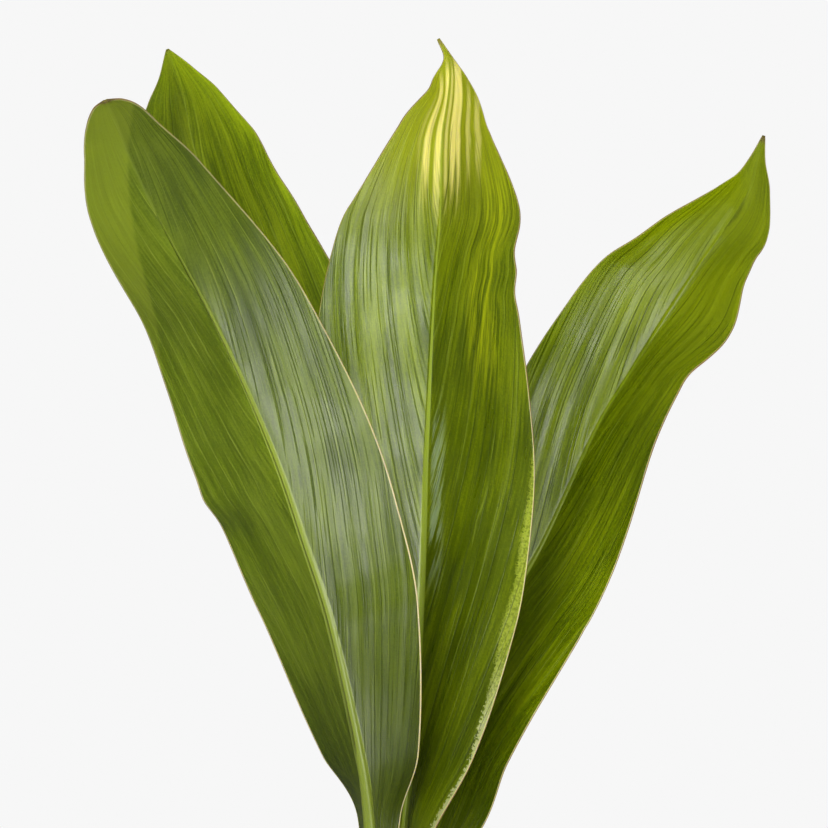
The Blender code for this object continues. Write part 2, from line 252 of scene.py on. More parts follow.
def stalkStations(leaf):
    clasp = math.radians(leaf["clasp"])
    outward = Vector((math.cos(clasp), math.sin(clasp), 0))
    facing = leaf["clasp"] + 180
    if facing - leaf["facing"] > 180:
        facing -= 360
    stations = []
    for rise, away in ((0, 0), (leafForm["seatHigh"], leafForm["seatLift"])):
        reach = caneRadius(leaf["height"]) + leafForm["gap"] + away
        spot = caneCentre(leaf["height"]) + outward * reach
        half = reach * math.radians(leafForm["seatWrap"])
        stations.append((spot.x, spot.y, leaf["height"] + rise, half, 0, 0, leafForm["seatWrap"], facing))
    seat, foot = stations[-1], leaf["rows"][0]
    for share, half, rise, bend in leafForm["neck"]:
        spot = [mix(seat[k], foot[k], share) for k in range(3)]
        stations.append((*spot, half, rise, rise, bend, mix(facing, leaf["facing"], share)))
    return stations


def stationAt(stations, marks, distance):
    # a smooth curve through the stations, read at a distance along the midrib
    last = len(stations) - 2
    k = min(sum(1 for mark in marks[1:-1] if mark <= distance), last)
    span = marks[k + 1] - marks[k]
    t = (distance - marks[k]) / span
    values = []
    for field in range(8):
        slopes = []
        for m in (k, k + 1):
            a, b = max(m - 1, 0), min(m + 1, last + 1)
            slopes.append((stations[b][field] - stations[a][field]) / (marks[b] - marks[a]) * span)
        start, end = stations[k][field], stations[k + 1][field]
        values.append(
            start * (2 * t**3 - 3 * t**2 + 1) + slopes[0] * (t**3 - 2 * t**2 + t)
            + end * (3 * t**2 - 2 * t**3) + slopes[1] * (t**3 - t**2)
        )
    return values


def between(pairs, t):
    # a value read from pairs of place and value, with soft steps between them
    if t <= pairs[0][0]:
        return pairs[0][1]
    for (a, low), (b, high) in zip(pairs, pairs[1:]):
        if t <= b:
            return mix(low, high, smooth((t - a) / (b - a)))
    return pairs[-1][1]


def creaseLift(crease, distance, rise):
    # rounds the fold at the midrib: the midrib is lifted and the blade runs into it in a curve
    return min(math.tan(math.radians(rise)), 1.0) * (math.hypot(distance, crease) - distance)


def halfSection(distance, half, rise, bend):
    start = math.radians(rise)
    turn = math.radians(bend) * distance / half
    if abs(turn) < 1e-4:
        return distance * math.cos(start), distance * math.sin(start)
    radius = distance / turn
    return (
        radius * (math.sin(start + turn) - math.sin(start)),
        radius * (math.cos(start) - math.cos(start + turn)),
    )


def columnShares():
    # shares of the half width, from midrib to margin, closer at both ends
    evenly = [(k + 1) / leafForm["halfColumns"] for k in range(leafForm["halfColumns"])]
    return [mix(t, 0.5 - 0.5 * math.cos(math.pi * t), leafForm["crowding"]) for t in evenly]


def gridFaces():
    wide = 2 * leafForm["halfColumns"] + 1
    starts = [i * wide + j for i in range(leafForm["rows"] - 1) for j in range(wide - 1)]
    return [(a, a + 1, a + wide + 1, a + wide) for a in starts]


def keepOnPoints(mesh, values):
    for label, numbers in values.items():
        mesh.attributes.new(label, "FLOAT", "POINT").data.foreach_set("value", numbers)


def leafSheet(name, leaf):
    # the upper face as an open sheet, with what the veins and colours follow kept on its points
    stations = stalkStations(leaf) + [(*row, leaf["bend"], leaf["facing"]) for row in leaf["rows"]]
    marks = [0.0]
    for a, b in zip(stations, stations[1:]):
        marks.append(marks[-1] + math.dist(a[:3], b[:3]))
    length = marks[-1]
    bladeStart = marks[-len(leaf["rows"])] / length
    shares = columnShares()
    points, kept = [], {"along": [], "across": [], "edge": [], "vein": []}
    for k in range(leafForm["rows"]):
        even = k / (leafForm["rows"] - 1)
        share = even - leafForm["crowding"] * math.sin(2 * math.pi * even) / (2 * math.pi)
        here = stationAt(stations, marks, share * length)
        ahead = 1 if share * length + leafForm["step"] < length else -1
        there = stationAt(stations, marks, share * length + leafForm["step"] * ahead)
        centre = Vector(here[:3])
        forward = (Vector(there[:3]) - centre).normalized() * ahead
        facing = math.radians(here[7])
        right = forward.cross(Vector((math.cos(facing), math.sin(facing), 0))).normalized()
        up = right.cross(forward)
        blade = (share - bladeStart) / (1 - bladeStart)
        hem = leafForm["hem"] * (1 - smooth(share * length / leafForm["hemLong"]))
        for side in (-1, 1):
            narrower = lift = 0.0
            for ruffleSide, height, span, less, raised in leaf["ruffles"]:
                if ruffleSide == side:
                    weight = math.exp(-(((here[2] - height) / span) ** 2))
                    narrower += less * weight
                    lift += raised * weight
            half = max(here[3] - narrower, leafForm["tipHalf"])
            rise = here[4] if side < 0 else here[5]
            crease = min(between(leaf["crease"], blade), leafForm["creaseMost"] * half)
            for s in shares[::-1] if side < 0 else [0.0] + shares:
                offset, height = halfSection(half * s, half, rise, here[6])
                height += lift * s**2 + creaseLift(crease, half * s, rise)
                points.append((centre + right * offset * side + up * height + forward * hem * s**2) * mm)
                vein = blade - leafForm["veinFan"] * s ** leafForm["veinBend"]
                for numbers, value in zip(kept.values(), (blade, side * half * s, half * (1 - s), vein)):
                    numbers.append(value)
    mesh = bpy.data.meshes.new(name)
    mesh.from_pydata(points, [], gridFaces())
    keepOnPoints(mesh, kept)
    return newPiece(name, mesh)


def buildReliefTree():
    # relief of a blade: pleats along the veins, finer furrows between them and a soft uneven swell
    tree, add, given = newGeometryTree("leafRelief", {
        "Pleats": 7.0, "Pleat Depth": 0.0003, "Furrows": 31.0, "Furrow Depth": 0.00003,
        "Swell Height": 0.0011, "Swell Size": 20.0, "Seed": 0.0, "Finish": None,
    })
    vein, along, across, edge = (
        add("GeometryNodeInputNamedAttribute", {"data_type": "FLOAT"}, {"Name": label})
        for label in ("vein", "along", "across", "edge")
    )
    # pleats are uneven: a slow noise along the veins shifts them
    slow = add("Math", timesPlus, [vein, 9.0, given["Seed"]])
    side = add("Math", {"operation": "SIGN"}, [across])
    slide = add("CombineXYZ", {}, [slow, along, side])
    uneven = add("TexNoise", {}, {"Vector": slide, "Scale": 1.0, "Detail": 1.0})
    pleatPhase = add("Math", timesPlus, [vein, given["Pleats"], uneven])
    furrowPhase = add("Math", times, [vein, given["Furrows"]])
    pleat, furrow = (
        add("Math", {"operation": "SINE"}, [add("Math", times, [phase, 2 * math.pi])])
        for phase in (pleatPhase, furrowPhase)
    )
    strength = add("MapRange", {}, [uneven, 0.35, 0.65, 0.35, 1.0])
    pleat = faded(add, pleat, strength, given["Pleat Depth"])
    relief = add("Math", timesPlus, [furrow, given["Furrow Depth"], pleat])
    seedShift = add("CombineXYZ", {}, {2: given["Seed"]})
    spot = add("VectorMath", plus, [add("GeometryNodeInputPosition", {}, {}), seedShift])
    swell = add("TexNoise", {}, {"Vector": spot, "Scale": given["Swell Size"], "Detail": 1.0})
    swell = add("Math", minus, [swell, 0.5])
    relief = add("Math", timesPlus, [swell, given["Swell Height"], relief])
    # all of it dies out at the stalk, the tip, the midrib and the margin
    rib = add("Math", unsigned, [across])
    relief = faded(add, relief, (along, 0.0, 0.15, 0.0, 1.0), (along, 0.8, 1.0, 1.0, 0.0),
                   (rib, 1.5, 7.0, 0.0, 1.0), (edge, 0.5, 5.0, 0.35, 1.0))
    closeTree(add, pushOut(add, given["Geometry"], relief), given["Finish"])
    return tree


reliefTree = buildReliefTree()


def thicknessAt(blade, aboveFoot, ribMm, share):
    stalk = 1 - smooth((blade - leafForm["stalkFrom"]) / leafForm["stalkSpan"])
    sheet = mix(leafForm["bladeThick"], leafForm["marginThick"], share**2)
    body = mix(leafForm["stalkThick"], leafForm["stalkEdge"], share**1.5)
    ridge = 0.0
    width = leafForm["ribHalf"] * (1 - leafForm["ribTaper"] * min(max(blade, 0), 1))
    if ribMm < width:
        ridge = leafForm["ribHigh"] * (1 - max(blade, 0)) ** 1.6
        ridge *= 0.5 + 0.5 * math.cos(math.pi * ribMm / width)
    thin = mix(leafForm["footThin"], 1, smooth(aboveFoot / leafForm["footSpan"]))
    return mix(sheet + ridge, body, stalk) * thin


def thicken(piece, material):
    # closes the sheet into a leaf: the under face, the rim, and a mark that tells the faces apart
    sheet = piece.data
    kept = {n: [item.value for item in sheet.attributes[n].data] for n in ("along", "across", "edge", "vein")}
    lowest = min(kept["along"])
    kept["foot"] = [value - lowest for value in kept["along"]]
    upper = [v.co.copy() for v in sheet.vertices]
    lower = []
    for k, v in enumerate(sheet.vertices):
        rib = abs(kept["across"][k])
        share = rib / max(rib + kept["edge"][k], 1e-6)
        thick = thicknessAt(kept["along"][k], kept["foot"][k], rib, share)
        lower.append(v.co - v.normal * thick * mm)
    count = len(upper)
    faces = []
    for a, b, c, d in gridFaces():
        faces += [(a, b, c, d), (count + d, count + c, count + b, count + a)]
    wide, high = 2 * leafForm["halfColumns"] + 1, leafForm["rows"]
    rim = [i * wide for i in range(high)] + [(high - 1) * wide + j for j in range(1, wide)]
    rim += [i * wide + wide - 1 for i in range(high - 2, -1, -1)] + list(range(wide - 2, 0, -1))
    for a, b in zip(rim, rim[1:] + rim[:1]):
        faces.append((a, b, count + b, count + a))
    mesh = bpy.data.meshes.new(piece.name)
    mesh.from_pydata(upper + lower, [], faces)
    keepOnPoints(mesh, {label: numbers * 2 for label, numbers in kept.items()})
    keepOnPoints(mesh, {"under": [0.0] * count + [1.0] * count})
    mesh.shade_smooth()
    mesh.materials.append(material)
    piece.data = mesh
    bpy.data.meshes.remove(sheet)
    return piece


# Leaf surface: a living cordyline blade, grown, with a thin waxy skin. The eye sees fine veins and
# dark furrows that fan from the midrib, a soft sheen where the skin turns to the light, and light
# that comes through the blade
leafSkin = {
    "halfMm": 52.0,  # half width that the spacings below are meant for
    "fine": (1.3, 14.0),  # fine veins: spacing mm, and how fast they change along the blade
    "bands": (9.0, 4.5),  # soft light and dark bands, in the same way
    "lineMm": 8.0,  # pale main veins
    "lineWide": 0.07,  # share of that spacing
    "furrows": ((6.0, 0.08, 6.0, 1.0), (2.4, 0.13, 7.0, 0.7)),  # spacing mm, width, breaks, depth
    "furrowReach": (0.44, 0.58),  # a furrow fades in between these values of a noise along it
    "grainMm": 1.1,  # pores and cells, drawn about ten times too coarse so that they show
    "patchMm": 500 / 7,  # broad patches of lighter green
    "toneShares": (0.5, 0.6, 0.22, 0.5),  # of fine veins, bands, grain and patches
    "toneSpan": (0.69, 1.14),  # sums that give the darkest and the palest green
    "smearMm": 30.0,  # duller patches where the wax is rubbed
    "marginBrownMm": 0.25,
    "low": "8f9470",  # painted shade: darkens the foot of the blade
    "bump": (0.6, 0.22),  # strength, mm
    "ior": 1.45,
    "glow": {"Subsurface Weight": 0.6, "Subsurface Radius": (0.8, 1.0, 0.12), "Subsurface Scale": 0.0016},
}


def perVein(spacing):
    # how many times something with this spacing comes in one unit of the vein coordinate
    return leafSkin["halfMm"] / spacing / leafForm["veinFan"]


def leafMaterial(name, look):
    material, add, spot = newMaterial(name)
    along, across, edge, vein, under, foot = (
        add("Attribute", {"attribute_name": label}, {}).outputs["Fac"]
        for label in ("along", "across", "edge", "vein", "under", "foot")
    )
    rib = add("Math", unsigned, [across])
    side = add("Math", {"operation": "SIGN"}, [across])
    seed = add("Math", timesPlus, [side, 3.7, look["seed"]])

    def streaked(share, patch):
        # keeps a share to a patch of the blade with soft sides, in mm across and along the blade
        for source, (a, b, c, d) in ((across, patch["across"]), (along, patch["along"])):
            share = faded(add, share, (source, a, b), (source, c, d, 1.0, 0.0))
        return share

    # fine veins, bands, furrows and main veins all follow the vein coordinate
    stretched = []
    for spacing, change in (leafSkin["fine"], leafSkin["bands"]):
        x = add("Math", times, [vein, perVein(spacing)])
        y = add("Math", times, [along, change])
        key = add("CombineXYZ", {}, [x, y, seed])
        stretched.append(add("TexNoise", {}, {"Vector": key, "Scale": 1.0, "Detail": 3.0, "Roughness": 0.6}))
    fine, bands = stretched
    # a furrow lies somewhere in each strip of the blade and comes and goes along it
    furrow = 0.0
    for spacing, width, breaks, cutDepth in leafSkin["furrows"]:
        strips = add("Math", times, [vein, perVein(spacing)])
        strip = add("Math", {"operation": "FLOOR"}, [strips])
        part = add("Math", {"operation": "FRACT"}, [strips])
        key = add("CombineXYZ", {}, [strip, seed, spacing])
        chance = add("TexWhiteNoise", {"noise_dimensions": "3D"}, {"Vector": key})
        middle = add("MapRange", {}, {"Value": chance, 3: 0.2, 4: 0.8})
        away = add("Math", unsigned, [add("Math", minus, [part, middle])])
        reach = add("Math", times, [along, breaks])
        key = add("CombineXYZ", {}, [reach, strip, seed])
        reachNoise = add("TexNoise", {}, {"Vector": key, "Scale": 1.0, "Detail": 1.0})
        one = faded(add, 1.0, (away, 0.0, width, cutDepth, 0.0), (reachNoise, *leafSkin["furrowReach"]))
        furrow = add("Math", larger, [furrow, one])
    secondHalf = add("MapRange", {}, [across, -1.0, 1.0, 1.0, look["furrowHalf"]])
    offMidrib = add("MapRange", {}, [rib, 1.0, 4.0])
    furrow = faded(add, furrow, secondHalf, offMidrib)
    turn = add("Math", timesPlus, [vein, perVein(leafSkin["lineMm"]), bands])
    turn = add("Math", {"operation": "PINGPONG"}, [turn, 0.5])
    lineReach = add("MapRange", {}, [reachNoise, 0.4, 0.6])
    line = faded(add, lineReach, (turn, 0.0, leafSkin["lineWide"], 1.0, 0.0))

    # tone: how light the green is, from fine veins, bands, cells and broad patches
    grain, patch, smear = (
        add("TexNoise", {}, {"Vector": spot, "Scale": 1 / (leafSkin[size] * mm), "Detail": 2.0})
        for size in ("grainMm", "patchMm", "smearMm")
    )
    tone = 0.0
    for source, share in zip((fine, bands, grain, patch), leafSkin["toneShares"]):
        tone = add("Math", timesPlus, [source, share, tone])
    darkest, palest = leafSkin["toneSpan"]
    tone = add("MapRange", {}, [tone, darkest, palest])
    toneLow = add("MapRange", {}, [tone, 0.0, 0.55])
    toneHigh = add("MapRange", {}, [tone, 0.45, 1.0])
    faces = []
    for (dark, mid, pale), plain in zip((look["greens"], look["underGreens"]), look["lines"]):
        face = add("Mix", inColour, {0: toneLow, 6: dark, 7: mid})
        face = add("Mix", inColour, {0: toneHigh, 6: face, 7: pale})
        lineShare = add("Math", times, [line, plain])
        faces.append(add("Mix", inColour, {0: lineShare, 6: face, 7: look["line"]}))
    upper, lower = faces

    if "top" in look:
        # the leaf is paler towards its tip: partly its own paler green, partly painted light shining through
        # the thin tip
        paleBacklitTipMask = add("MapRange", smoothStep, [along, *look["topSpan"]])
        upper = add("Mix", inColour, {0: paleBacklitTipMask, 6: upper, 7: look["top"]})
    if "strip" in look:
        # painted light: a paler strip inside one margin, along a slanted line, where light shines through
        climb, low, high, share = look["stripLine"]
        slanted = add("Math", timesPlus, [along, climb, across])
        strip = faded(add, share, (slanted, low, high), (along, 0.55, 0.75))
        lower = add("Mix", inColour, {0: strip, 6: lower, 7: look["strip"]})
    if "stripes" in look:
        # cream-yellow stripes run up to the tip on both sides of the midrib, ragged at their feet
        taper = add("MapRange", {}, [along, 0.86, 1.0, 1.0, 0.35])
        narrowed = add("Math", {"operation": "DIVIDE"}, [across, taper])
        ragged = add("Math", timesPlus, [fine, 0.12, along])
        stripes = 0.0
        for middle, half, low, high, strength in look["stripes"]:
            away = add("Math", unsigned, [add("Math", minus, [narrowed, middle])])
            stripe = faded(add, strength, (away, half - 1.0, half + 0.8, 1.0, 0.0),
                           (ragged, low + 0.02, low + 0.11), (along, high - 0.03, high + 0.01, 1.0, 0.0))
            stripes = add("Math", larger, [stripes, stripe])
        stripes = faded(add, stripes, add("MapRange", {}, [fine, 0.3, 0.5, 0.7, 1.0]))
        upper = add("Mix", inColour, {0: stripes, 6: upper, 7: look["stripe"]})
        # streaks low on the right half of the tip: partly the leaf's own yellow, partly painted light shining
        # through the blade
        yellowBacklitStreaks = add("MapRange", {}, [fine, 0.42, 0.62, 0.0, 0.85])
        upper = add("Mix", inColour, {0: streaked(yellowBacklitStreaks, look["yellowBacklitStreaks"]), 6: upper, 7: look["yellowBacklitStreaks"]["colour"]})

    # midrib: a pale line above and a bright ridge below, both gone before the tip
    fadeFrom, fadeTo = look["ribSpan"]
    ribFade = add("MapRange", {}, [along, fadeFrom, fadeTo, 1.0, 0.1])
    ribUp = add("MapRange", smoothStep, [along, 0.1, 0.75, 3.2, 0.6])
    ribDown = add("MapRange", {}, [along, 0.0, 0.8, leafForm["ribHalf"] * 1.15, 0.9])
    ribMasks = []
    for ribWide, plain, strength in ((ribUp, 0.65, 0.85), (ribDown, 0.85, 0.95)):
        plainWide = add("Math", times, [ribWide, plain])
        ribMasks.append(faded(add, ribFade, (rib, plainWide, ribWide, strength, 0.0)))
    upper = add("Mix", inColour, {0: ribMasks[0], 6: upper, 7: look["rib"]})
    lower = add("Mix", inColour, {0: ribMasks[1], 6: lower, 7: look["ribUnder"]})

    if "paintedRibSheen" in look:
        # painted sheen: thin grey-green streaks close to the midrib on the right half
        streaks = streaked(faded(add, 0.75, (fine, 0.44, 0.6)), look["paintedRibSheen"])
        upper = add("Mix", inColour, {0: streaks, 6: upper, 7: look["paintedRibSheen"]["colour"]})
    if "fleckBand" in look:
        # a band of yellow-green flecks inside the right margin, cream where it is lowest
        flecks = add("TexNoise", {}, {"Vector": spot, "Scale": 700.0, "Detail": 3.0})
        bandWide = 0.0
        for low, high, change in look["bandSteps"]:
            step = add("MapRange", {}, [along, low, high, 0.0, change])
            bandWide = add("Math", plus, [bandWide, step])
        bandEdge = add("Math", plus, [edge, add("Math", timesPlus, [flecks, 9.0, -4.5])])
        bandOver = add("Math", minus, [bandEdge, bandWide])
        cut = add("MapRange", {}, [flecks, 0.42, 0.54, 0.4, 1.0])
        lowest = add("MapRange", smoothStep, [along, 0.12, 0.24, 1.0, 0.0])
        rightSide = add("Math", larger, [side, 0.0])
        band = faded(add, rightSide, (bandOver, -0.7, 0.2, 1.0, 0.0), add("Math", larger, [cut, lowest]))
        bandColour = add("Mix", inColour, {0: lowest, 6: look["fleckBand"], 7: look["fleckLow"]})
        upper = add("Mix", inColour, {0: band, 6: upper, 7: bandColour})

    body = add("Mix", inColour, {0: under, 6: upper, 7: lower})
    # painted light and shade: one half of a leaf is darker than the other as the light falls on it, the tip
    # may be darker too, and the thin margin is lit up as if light shines through it
    first, second = look["halves"]
    halves = add("MapRange", {}, [across, -1.5, 1.5, first, second])
    paintedShading = faded(add, halves, (along, 0.5, 0.8, 1.0, look["tipShade"]),
                     (edge, 1.0, 24.0, look["marginBacklight"], 1.0))
    body = add("Mix", darkening, {0: 1.0, 6: body, 7: paintedShading})
    # painted shade: the furrows are darkened in colour as well as cut in relief
    shade = add("Math", times, [furrow, look["furrows"]])
    body = add("Mix", inColour, {0: shade, 6: body, 7: look["furrow"]})
    # painted shade: the foot of the blade is darkened, less on the midrib's ridge
    offRidge = add("MapRange", {}, {"Value": ribMasks[1], 3: 1.0, 4: 0.5})
    footShade = faded(add, offRidge, (along, 0.0, 0.5, look["footShadeShare"], 0.0))
    body = add("Mix", darkening, {0: footShade, 6: body, 7: leafSkin["low"]})
    # a paler stalk with a papery foot, a pale line in the margin with a thin red-brown edge, and a
    # dry brown point
    paleness = add("MapRange", {}, [along, 0.4, 0.8, 0.85, 0.3])
    for colour, share, step in (
        ("stalk", 1.0, (along, -0.25, 0.04, 0.8, 0.0)),
        ("foot", 1.0, (foot, 0.002, 0.02, 0.75, 0.0)),
        ("margin", paleness, (edge, look["marginMm"] * 0.6, look["marginMm"], 1.0, 0.0)),
        ("edge", 1.0, (edge, 0.0, leafSkin["marginBrownMm"], 0.9, 0.0)),
        ("point", 1.0, (along, look["dryFrom"], look["dryFrom"] + 0.012, 0.0, 0.9)),
    ):
        body = add("Mix", inColour, {0: faded(add, share, step), 6: body, 7: look[colour]})
    # the sheen is uneven along the veins, and dull in smeared patches and where the wax is thick
    glossy, matte = look["gloss"]
    rough = add("MapRange", {}, [bands, 0.3, 0.7, glossy, matte])
    wax = add("MapRange", smoothStep, [along, *look["waxSpan"]])
    smeared = add("MapRange", smoothStep, [smear, 0.46, 0.64, 0.0, look["smear"]])
    for more in (smeared, wax):
        rough = add("Math", plus, [rough, more])
    # one half is duller along its margin, and where the wax has been rubbed off
    mattSide = add("MapRange", smoothStep, [across, -10.0, -4.0, 1.0, 0.0])
    mattSteps = [(edge, 3.0, 17.0, look["mattMargin"], 0.0)]
    for middle, half, share in look["rubbed"]:
        away = add("Math", unsigned, [add("Math", minus, [along, middle])])
        away = add("Math", timesPlus, [fine, half, away])
        mattSteps.append((away, half, half * 2, share, 0.0))
    for step in mattSteps:
        wax = add("Math", plus, [wax, faded(add, mattSide, step)])
    mirror = add("Math", timesPlus, [wax, -1.0, look["mirror"]])
    # fine veins, cells and furrows in relief
    depth = add("Math", timesPlus, [furrow, -1.2, fine])
    depth = add("Math", timesPlus, [grain, 0.25, depth])
    return coated(material, add, depth, *leafSkin["bump"], leafSkin["glow"] | {
        "Base Color": body, "Roughness": rough, "IOR": leafSkin["ior"], "Specular IOR Level": mirror,
    })


def buildLeaf(name, leaf, look):
    material = leafMaterial(name + "Blade", look)
    sheet = leafSheet(name, leaf)
    values = {"Seed": look["seed"], "Pleat Depth": leaf["pleatMm"] * mm, "Finish": material}
    useTree(sheet, reliefTree, values)
    piece = thicken(settle(sheet), material)
    place(piece, [leaf["node"]])
    print("leaf", name, "faces", len(piece.data.polygons))


greenLook = {
    "greens": ("3f4e00", "5a6a00", "7a8904"),  # dark, middle and pale
    "underGreens": ("475800", "607208", "788a18"),
    "line": "8f9f32",
    "lines": (0.35, 0.65),  # how plain the main veins are above and below
    # painted shade in the furrows: its colour and its strength
    "furrow": "2b3a00",
    "furrows": 0.6,
    "furrowHalf": 1.0,  # how deep the furrows are in the second half
    "rib": "92a338",
    "ribUnder": "9bac42",
    "ribSpan": (0.55, 0.95),  # the midrib's colour fades from here to there
    "stalk": "8c9a3a",
    "foot": "8d7a4a",
    "margin": "b9b27c",
    "marginMm": 0.6,  # a pale line inside the margin
    "edge": "70502f",
    "point": "5c4f2a",
    "dryFrom": 0.985,
    "halves": (1.0, 1.0),  # painted shade: how light each half is as the light falls on it
    "marginBacklight": 1.0,  # and how much painted light brightens the margin
    # painted shade at the tip
    "tipShade": 1.0,
    "footShadeShare": 0.4,
    "mirror": 0.6,  # strength of the sheen
    "gloss": (0.26, 0.34),
    "smear": 0.08,
    "waxSpan": (0.7, 0.85, 0.0, 0.1),  # from, to, how much duller before and after
    "rubbed": (),
    "mattMargin": 0.0,  # how much duller the blade is along one margin
}

frontLeft = {
    "node": "leaf_front_left",
    "clasp": 240,
    "height": 204,
    "facing": 90,
    "bend": -8,
    "pleatMm": 0.14,
    "crease": ((0.0, 0.5), (0.25, 1.5), (0.6, 4.0), (0.85, 8.0)),  # blade share, mm
    "rows": (
        (-18, -22, 332, 23, 50, 80), (-22, -29, 365, 32, 22, 57), (-38, -46, 440, 47, 12, 47),
        (-51, -60, 482, 52, 18, 47), (-63, -74, 519, 53, 22, 41), (-79, -91, 559, 51, 25, 46),
        (-96, -108, 596, 47.5, 27, 50), (-122, -133, 646.5, 34.7, 33, 33),
        (-132.5, -150, 671, 21.8, 27, 27), (-136, -161, 682, 15.2, 23, 23),
        (-138.5, -173, 689, 8.3, 18, 18), (-139.5, -183, 692, 0.8, 20, 20),
    ),
    "ruffles": ((1, 484, 8, -0.5, 3), (1, 503, 9, -2.5, -2)),  # side, height, span, less half width, lift
}
backLeft = {
    "node": "leaf_back_left",
    "clasp": 132,
    "height": 236,
    "facing": 270,
    "bend": -8,
    "pleatMm": 0.3,
    "crease": ((0.0, 0.5), (0.3, 3.0), (0.8, 8.0)),
    "rows": (
        (-8, 41, 325, 14, 50, 50), (-11, 53, 361, 24, 40, 42), (-23, 75, 440, 41, 28, 35),
        (-45, 95, 525, 51, 26, 35), (-60, 106, 569, 52, 26, 35), (-79, 117, 611, 51, 27, 40),
        (-98, 128, 650, 47, 28, 42), (-116, 139, 687, 40, 32, 33), (-124, 150, 719, 24, 36, 37),
        (-129, 155, 736, 12, 40, 36), (-135, 159, 752, 0.8, 20, 20),
    ),
    "ruffles": ((1, 640, 12, -1.5, -3), (-1, 600, 14, 2, 3)),
}
centre = {
    "node": "leaf_centre",
    "clasp": 62,
    "height": 259,
    "facing": 270,
    "bend": -12,
    "pleatMm": 0.25,
    "crease": ((0.0, 0.5), (0.25, 1.5), (0.5, 3.5), (1.0, 3.0)),
    "rows": (
        (0, 8, 329, 25, 55, 60), (4, 10, 371, 40, 36, 41), (8, 13, 437, 54.5, 24, 29),
        (10, 16, 479, 60, 20, 29), (11, 19, 512, 62.5, 17, 31), (13, 23, 552, 63, 15, 41),
        (15, 28, 594, 61, 15, 50), (17, 32, 626, 57, 20, 52), (19, 36, 651, 50.5, 25, 42),
        (20, 42, 693, 31, 49, 44), (23, 46, 714, 18.5, 63, 38), (24, 48, 726, 9.5, 47, 40),
        (23, 49, 736, 2.6, 40, 40), (18, 50, 746, 0.8, 20, 20),
    ),
    "ruffles": ((1, 616, 6, -1.5, 1), (1, 604, 7, 1, -1.5)),
}
right = {
    "node": "leaf_right",
    "clasp": 15,
    "height": 220,
    "facing": 270,
    "bend": -12,
    "pleatMm": 0.3,
    "crease": ((0.0, 0.5), (0.25, 2.0), (0.6, 4.0), (0.85, 9.0)),
    "rows": (
        (15, 26, 327, 28, 34, 38), (26, 33, 369, 38, 33, 47), (57, 43, 446, 49, 25, 41),
        (74, 47, 477, 50, 24, 46), (104, 57, 539, 51, 20, 62), (122, 62, 568, 50.5, 17, 66),
        (144, 68, 603, 47, 22, 53), (160, 73, 627, 38, 38, 57), (180, 79, 655, 22, 44, 31),
        (188, 81, 669, 12, 30, 30), (192, 83, 683, 5, 30, 30), (196, 85, 697, 0.8, 20, 20),
    ),
    "ruffles": ((-1, 615, 9, 2.5, 3), (1, 574, 8, 2.5, 2), (1, 596, 8, -1, -2), (1, 638, 7, 2.5, 2)),
}

frontLeftLook = greenLook | {
    "seed": 2.3,
    "gloss": (0.28, 0.36),
    "margin": "cdbf93",
    "marginMm": 1.0,
    "footShadeShare": 0.8,
    "halves": (0.72, 0.92),
    "tipShade": 0.85,
    "furrowHalf": 0.3,
    "ribSpan": (0.65, 0.86),
    "ribUnder": "96a63f",
    "waxSpan": (0.64, 0.77, 0.0, 0.35),
    "rubbed": ((0.28, 0.024, 0.3), (0.2, 0.04, 0.2)),  # middle, half length along, how much duller
    # painted light: the front leaf's paler strip, where light comes through the blade
    "strip": "8b9a22",
    "stripLine": (175.0, 154.9, 157.9, 0.55),  # across mm + first x along is from, to; its share
}
backLeftLook = greenLook | {
    "seed": 5.1,
    "halves": (1.0, 1.3),
    "marginBacklight": 1.5,
    "tipShade": 0.72,
    "dryFrom": 0.992,
}
centreLook = greenLook | {
    "seed": 8.6,
    # paler tip: partly its own colour, partly painted light through the blade
    "top": "949a0e",
    "topSpan": (0.68, 0.92, 0.0, 0.75),  # from, to, share of the colour before and after
    "stripe": "dfd37a",
    "stripes": (  # middle mm, half mm, foot and head along the blade, strength
        (-16.0, 1.2, 0.83, 0.92, 0.25), (-10.5, 2.3, 0.80, 0.95, 0.8), (-2.8, 2.3, 0.79, 0.97, 0.75),
        (3.2, 1.2, 0.79, 0.97, 0.65), (9.5, 3.6, 0.80, 0.98, 0.9), (18.5, 1.5, 0.82, 0.94, 0.5),
        (25.0, 1.9, 0.82, 0.93, 0.5),
    ),
    "halves": (1.1, 0.84),
    "marginBacklight": 1.06,
    "point": "7d7434",
    # partly the leaf's own yellow, partly painted light shining through the blade
    "yellowBacklitStreaks": {"colour": "9ca606", "across": (22.0, 32.0, 42.0, 52.0), "along": (0.5, 0.64, 0.76, 0.88)},
    "paintedRibSheen": {"colour": "94a67c", "across": (2.5, 4.5, 8.0, 13.0), "along": (0.28, 0.36, 0.46, 0.56)},
    "fleckBand": "9ba836",
    "fleckLow": "bcc182",
    "bandSteps": (  # from, to along the blade, change of the band's width in mm
        (-0.5, -0.4, 3.2), (0.04, 0.08, -1.6), (0.08, 0.17, 3.4), (0.17, 0.26, 3.2), (0.26, 0.31, -2.6),
        (0.36, 0.52, -6.6),
    ),
}
rightLook = greenLook | {
    "seed": 11.9,
    "halves": (1.0, 0.84),
    "footShadeShare": 0.1,
    "furrows": 0.9,
    "mattMargin": 0.3,
    # paler tip: partly its own colour, partly painted light through the blade
    "top": "7a860c",
    "topSpan": (0.5, 0.8, 0.0, 0.45),
    "ribSpan": (0.3, 0.6),
    "mirror": 0.36,
    "gloss": (0.22, 0.3),
}

buildLeaf("leafFrontLeft", frontLeft, frontLeftLook)
buildLeaf("leafBackLeft", backLeft, backLeftLook)
buildLeaf("leafCentre", centre, centreLook)
buildLeaf("leafRight", right, rightLook)


